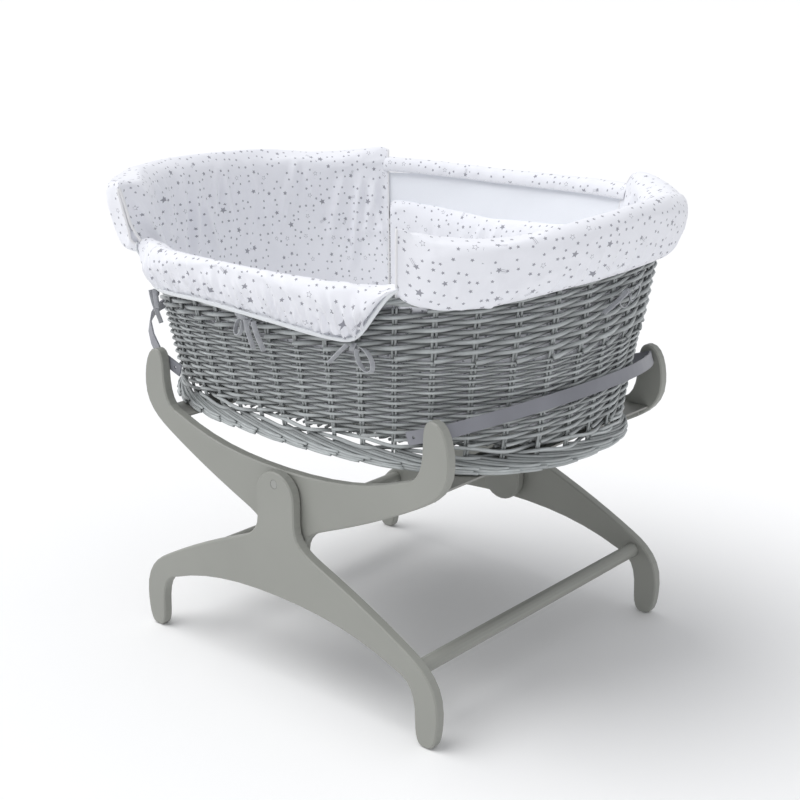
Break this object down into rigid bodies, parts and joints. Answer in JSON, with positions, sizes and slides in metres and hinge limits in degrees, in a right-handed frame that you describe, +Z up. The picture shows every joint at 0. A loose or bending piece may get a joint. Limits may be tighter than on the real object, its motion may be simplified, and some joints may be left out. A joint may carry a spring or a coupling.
{
  "type": "baby cradle",
  "caption": "Oval willow bassinet with a padded star-print liner, held by steel slats and bands in a tilting painted wooden cradle stand.",
  "frame": {"origin": "on the floor, under the middle of the bassinet", "axes": "+X along the bassinet towards its foot end, +Y across it away from the side with the folded flap, +Z up"},
  "size_m": [0.8728, 0.6259, 0.698],
  "materials": {
    "painted_wood": "satin warm grey paint",
    "painted_steel": "satin cool grey powder coat",
    "fixings": "bright zinc plate",
    "nylon": "natural nylon",
    "cap_plastic": "grey moulded plastic",
    "willow": "woven willow, washed grey, with a slight sheen",
    "printed_cotton": "quilted white cotton printed with small grey stars",
    "window_mesh": "fine plain pale blue-white cloth",
    "mattress_cloth": "white cotton cover",
    "ribbon": "grey woven ribbon"
  },
  "bodies": {
    "stand": {"leg_board_far": "painted_wood", "leg_board_near": "painted_wood", "pivot_bolt_far": "fixings", "pivot_bolt_near": "fixings", "pivot_cap_far": "cap_plastic", "pivot_cap_near": "cap_plastic", "pivot_nut_far": "fixings", "pivot_nut_near": "fixings", "pivot_washer_far": "nylon", "pivot_washer_near": "nylon", "stretcher_bolt_foot_far": "fixings", "stretcher_bolt_foot_near": "fixings", "stretcher_bolt_head_far": "fixings", "stretcher_bolt_head_near": "fixings", "stretcher_foot": "painted_wood", "stretcher_head": "painted_wood"},
    "cradle": {"band_foot": "painted_steel", "band_foot_screw_far": "fixings", "band_foot_screw_near": "fixings", "band_head": "painted_steel", "band_head_screw_far": "fixings", "band_head_screw_near": "fixings", "bow_board_far": "painted_wood", "bow_board_near": "painted_wood", "slat_foot": "painted_steel", "slat_head": "painted_steel", "slat_screw_foot_far_1": "fixings", "slat_screw_foot_far_2": "fixings", "slat_screw_foot_near_1": "fixings", "slat_screw_foot_near_2": "fixings", "slat_screw_head_far_1": "fixings", "slat_screw_head_far_2": "fixings", "slat_screw_head_near_1": "fixings", "slat_screw_head_near_2": "fixings"},
    "basket": {"basket_base": "willow", "far_top_band": "printed_cotton", "far_window": "window_mesh", "foot_border": "willow", "liner_far_side": "printed_cotton", "liner_foot": "printed_cotton", "liner_head": "printed_cotton", "liner_near_flap": "printed_cotton", "rim_border": "willow", "tie_corner": "ribbon", "tie_corner_tail_1": "ribbon", "tie_foot": "ribbon", "tie_foot_tail_1": "ribbon", "tie_head": "ribbon", "tie_head_tail_1": "ribbon", "tie_middle": "ribbon", "tie_middle_tail_1": "ribbon", "tie_middle_tail_2": "ribbon", "willow_wall": "willow"},
    "mattress": {"mattress": "mattress_cloth"}
  },
  "joints": [
    {"name": "cradle_tilt", "type": "hinge", "parent": "stand", "child": "cradle", "pos_m": [0.028, 0, 0.302], "axis": [0, 1, 0], "range_deg": [-10, 10]},
    {"name": "basket_lift", "type": "slide", "parent": "cradle", "child": "basket", "axis": [0, 0, 1], "range_m": [0, 0.12]},
    {"name": "mattress_lift", "type": "slide", "parent": "basket", "child": "mattress", "axis": [0, 0, 1], "range_m": [0, 0.2]}
  ]
}
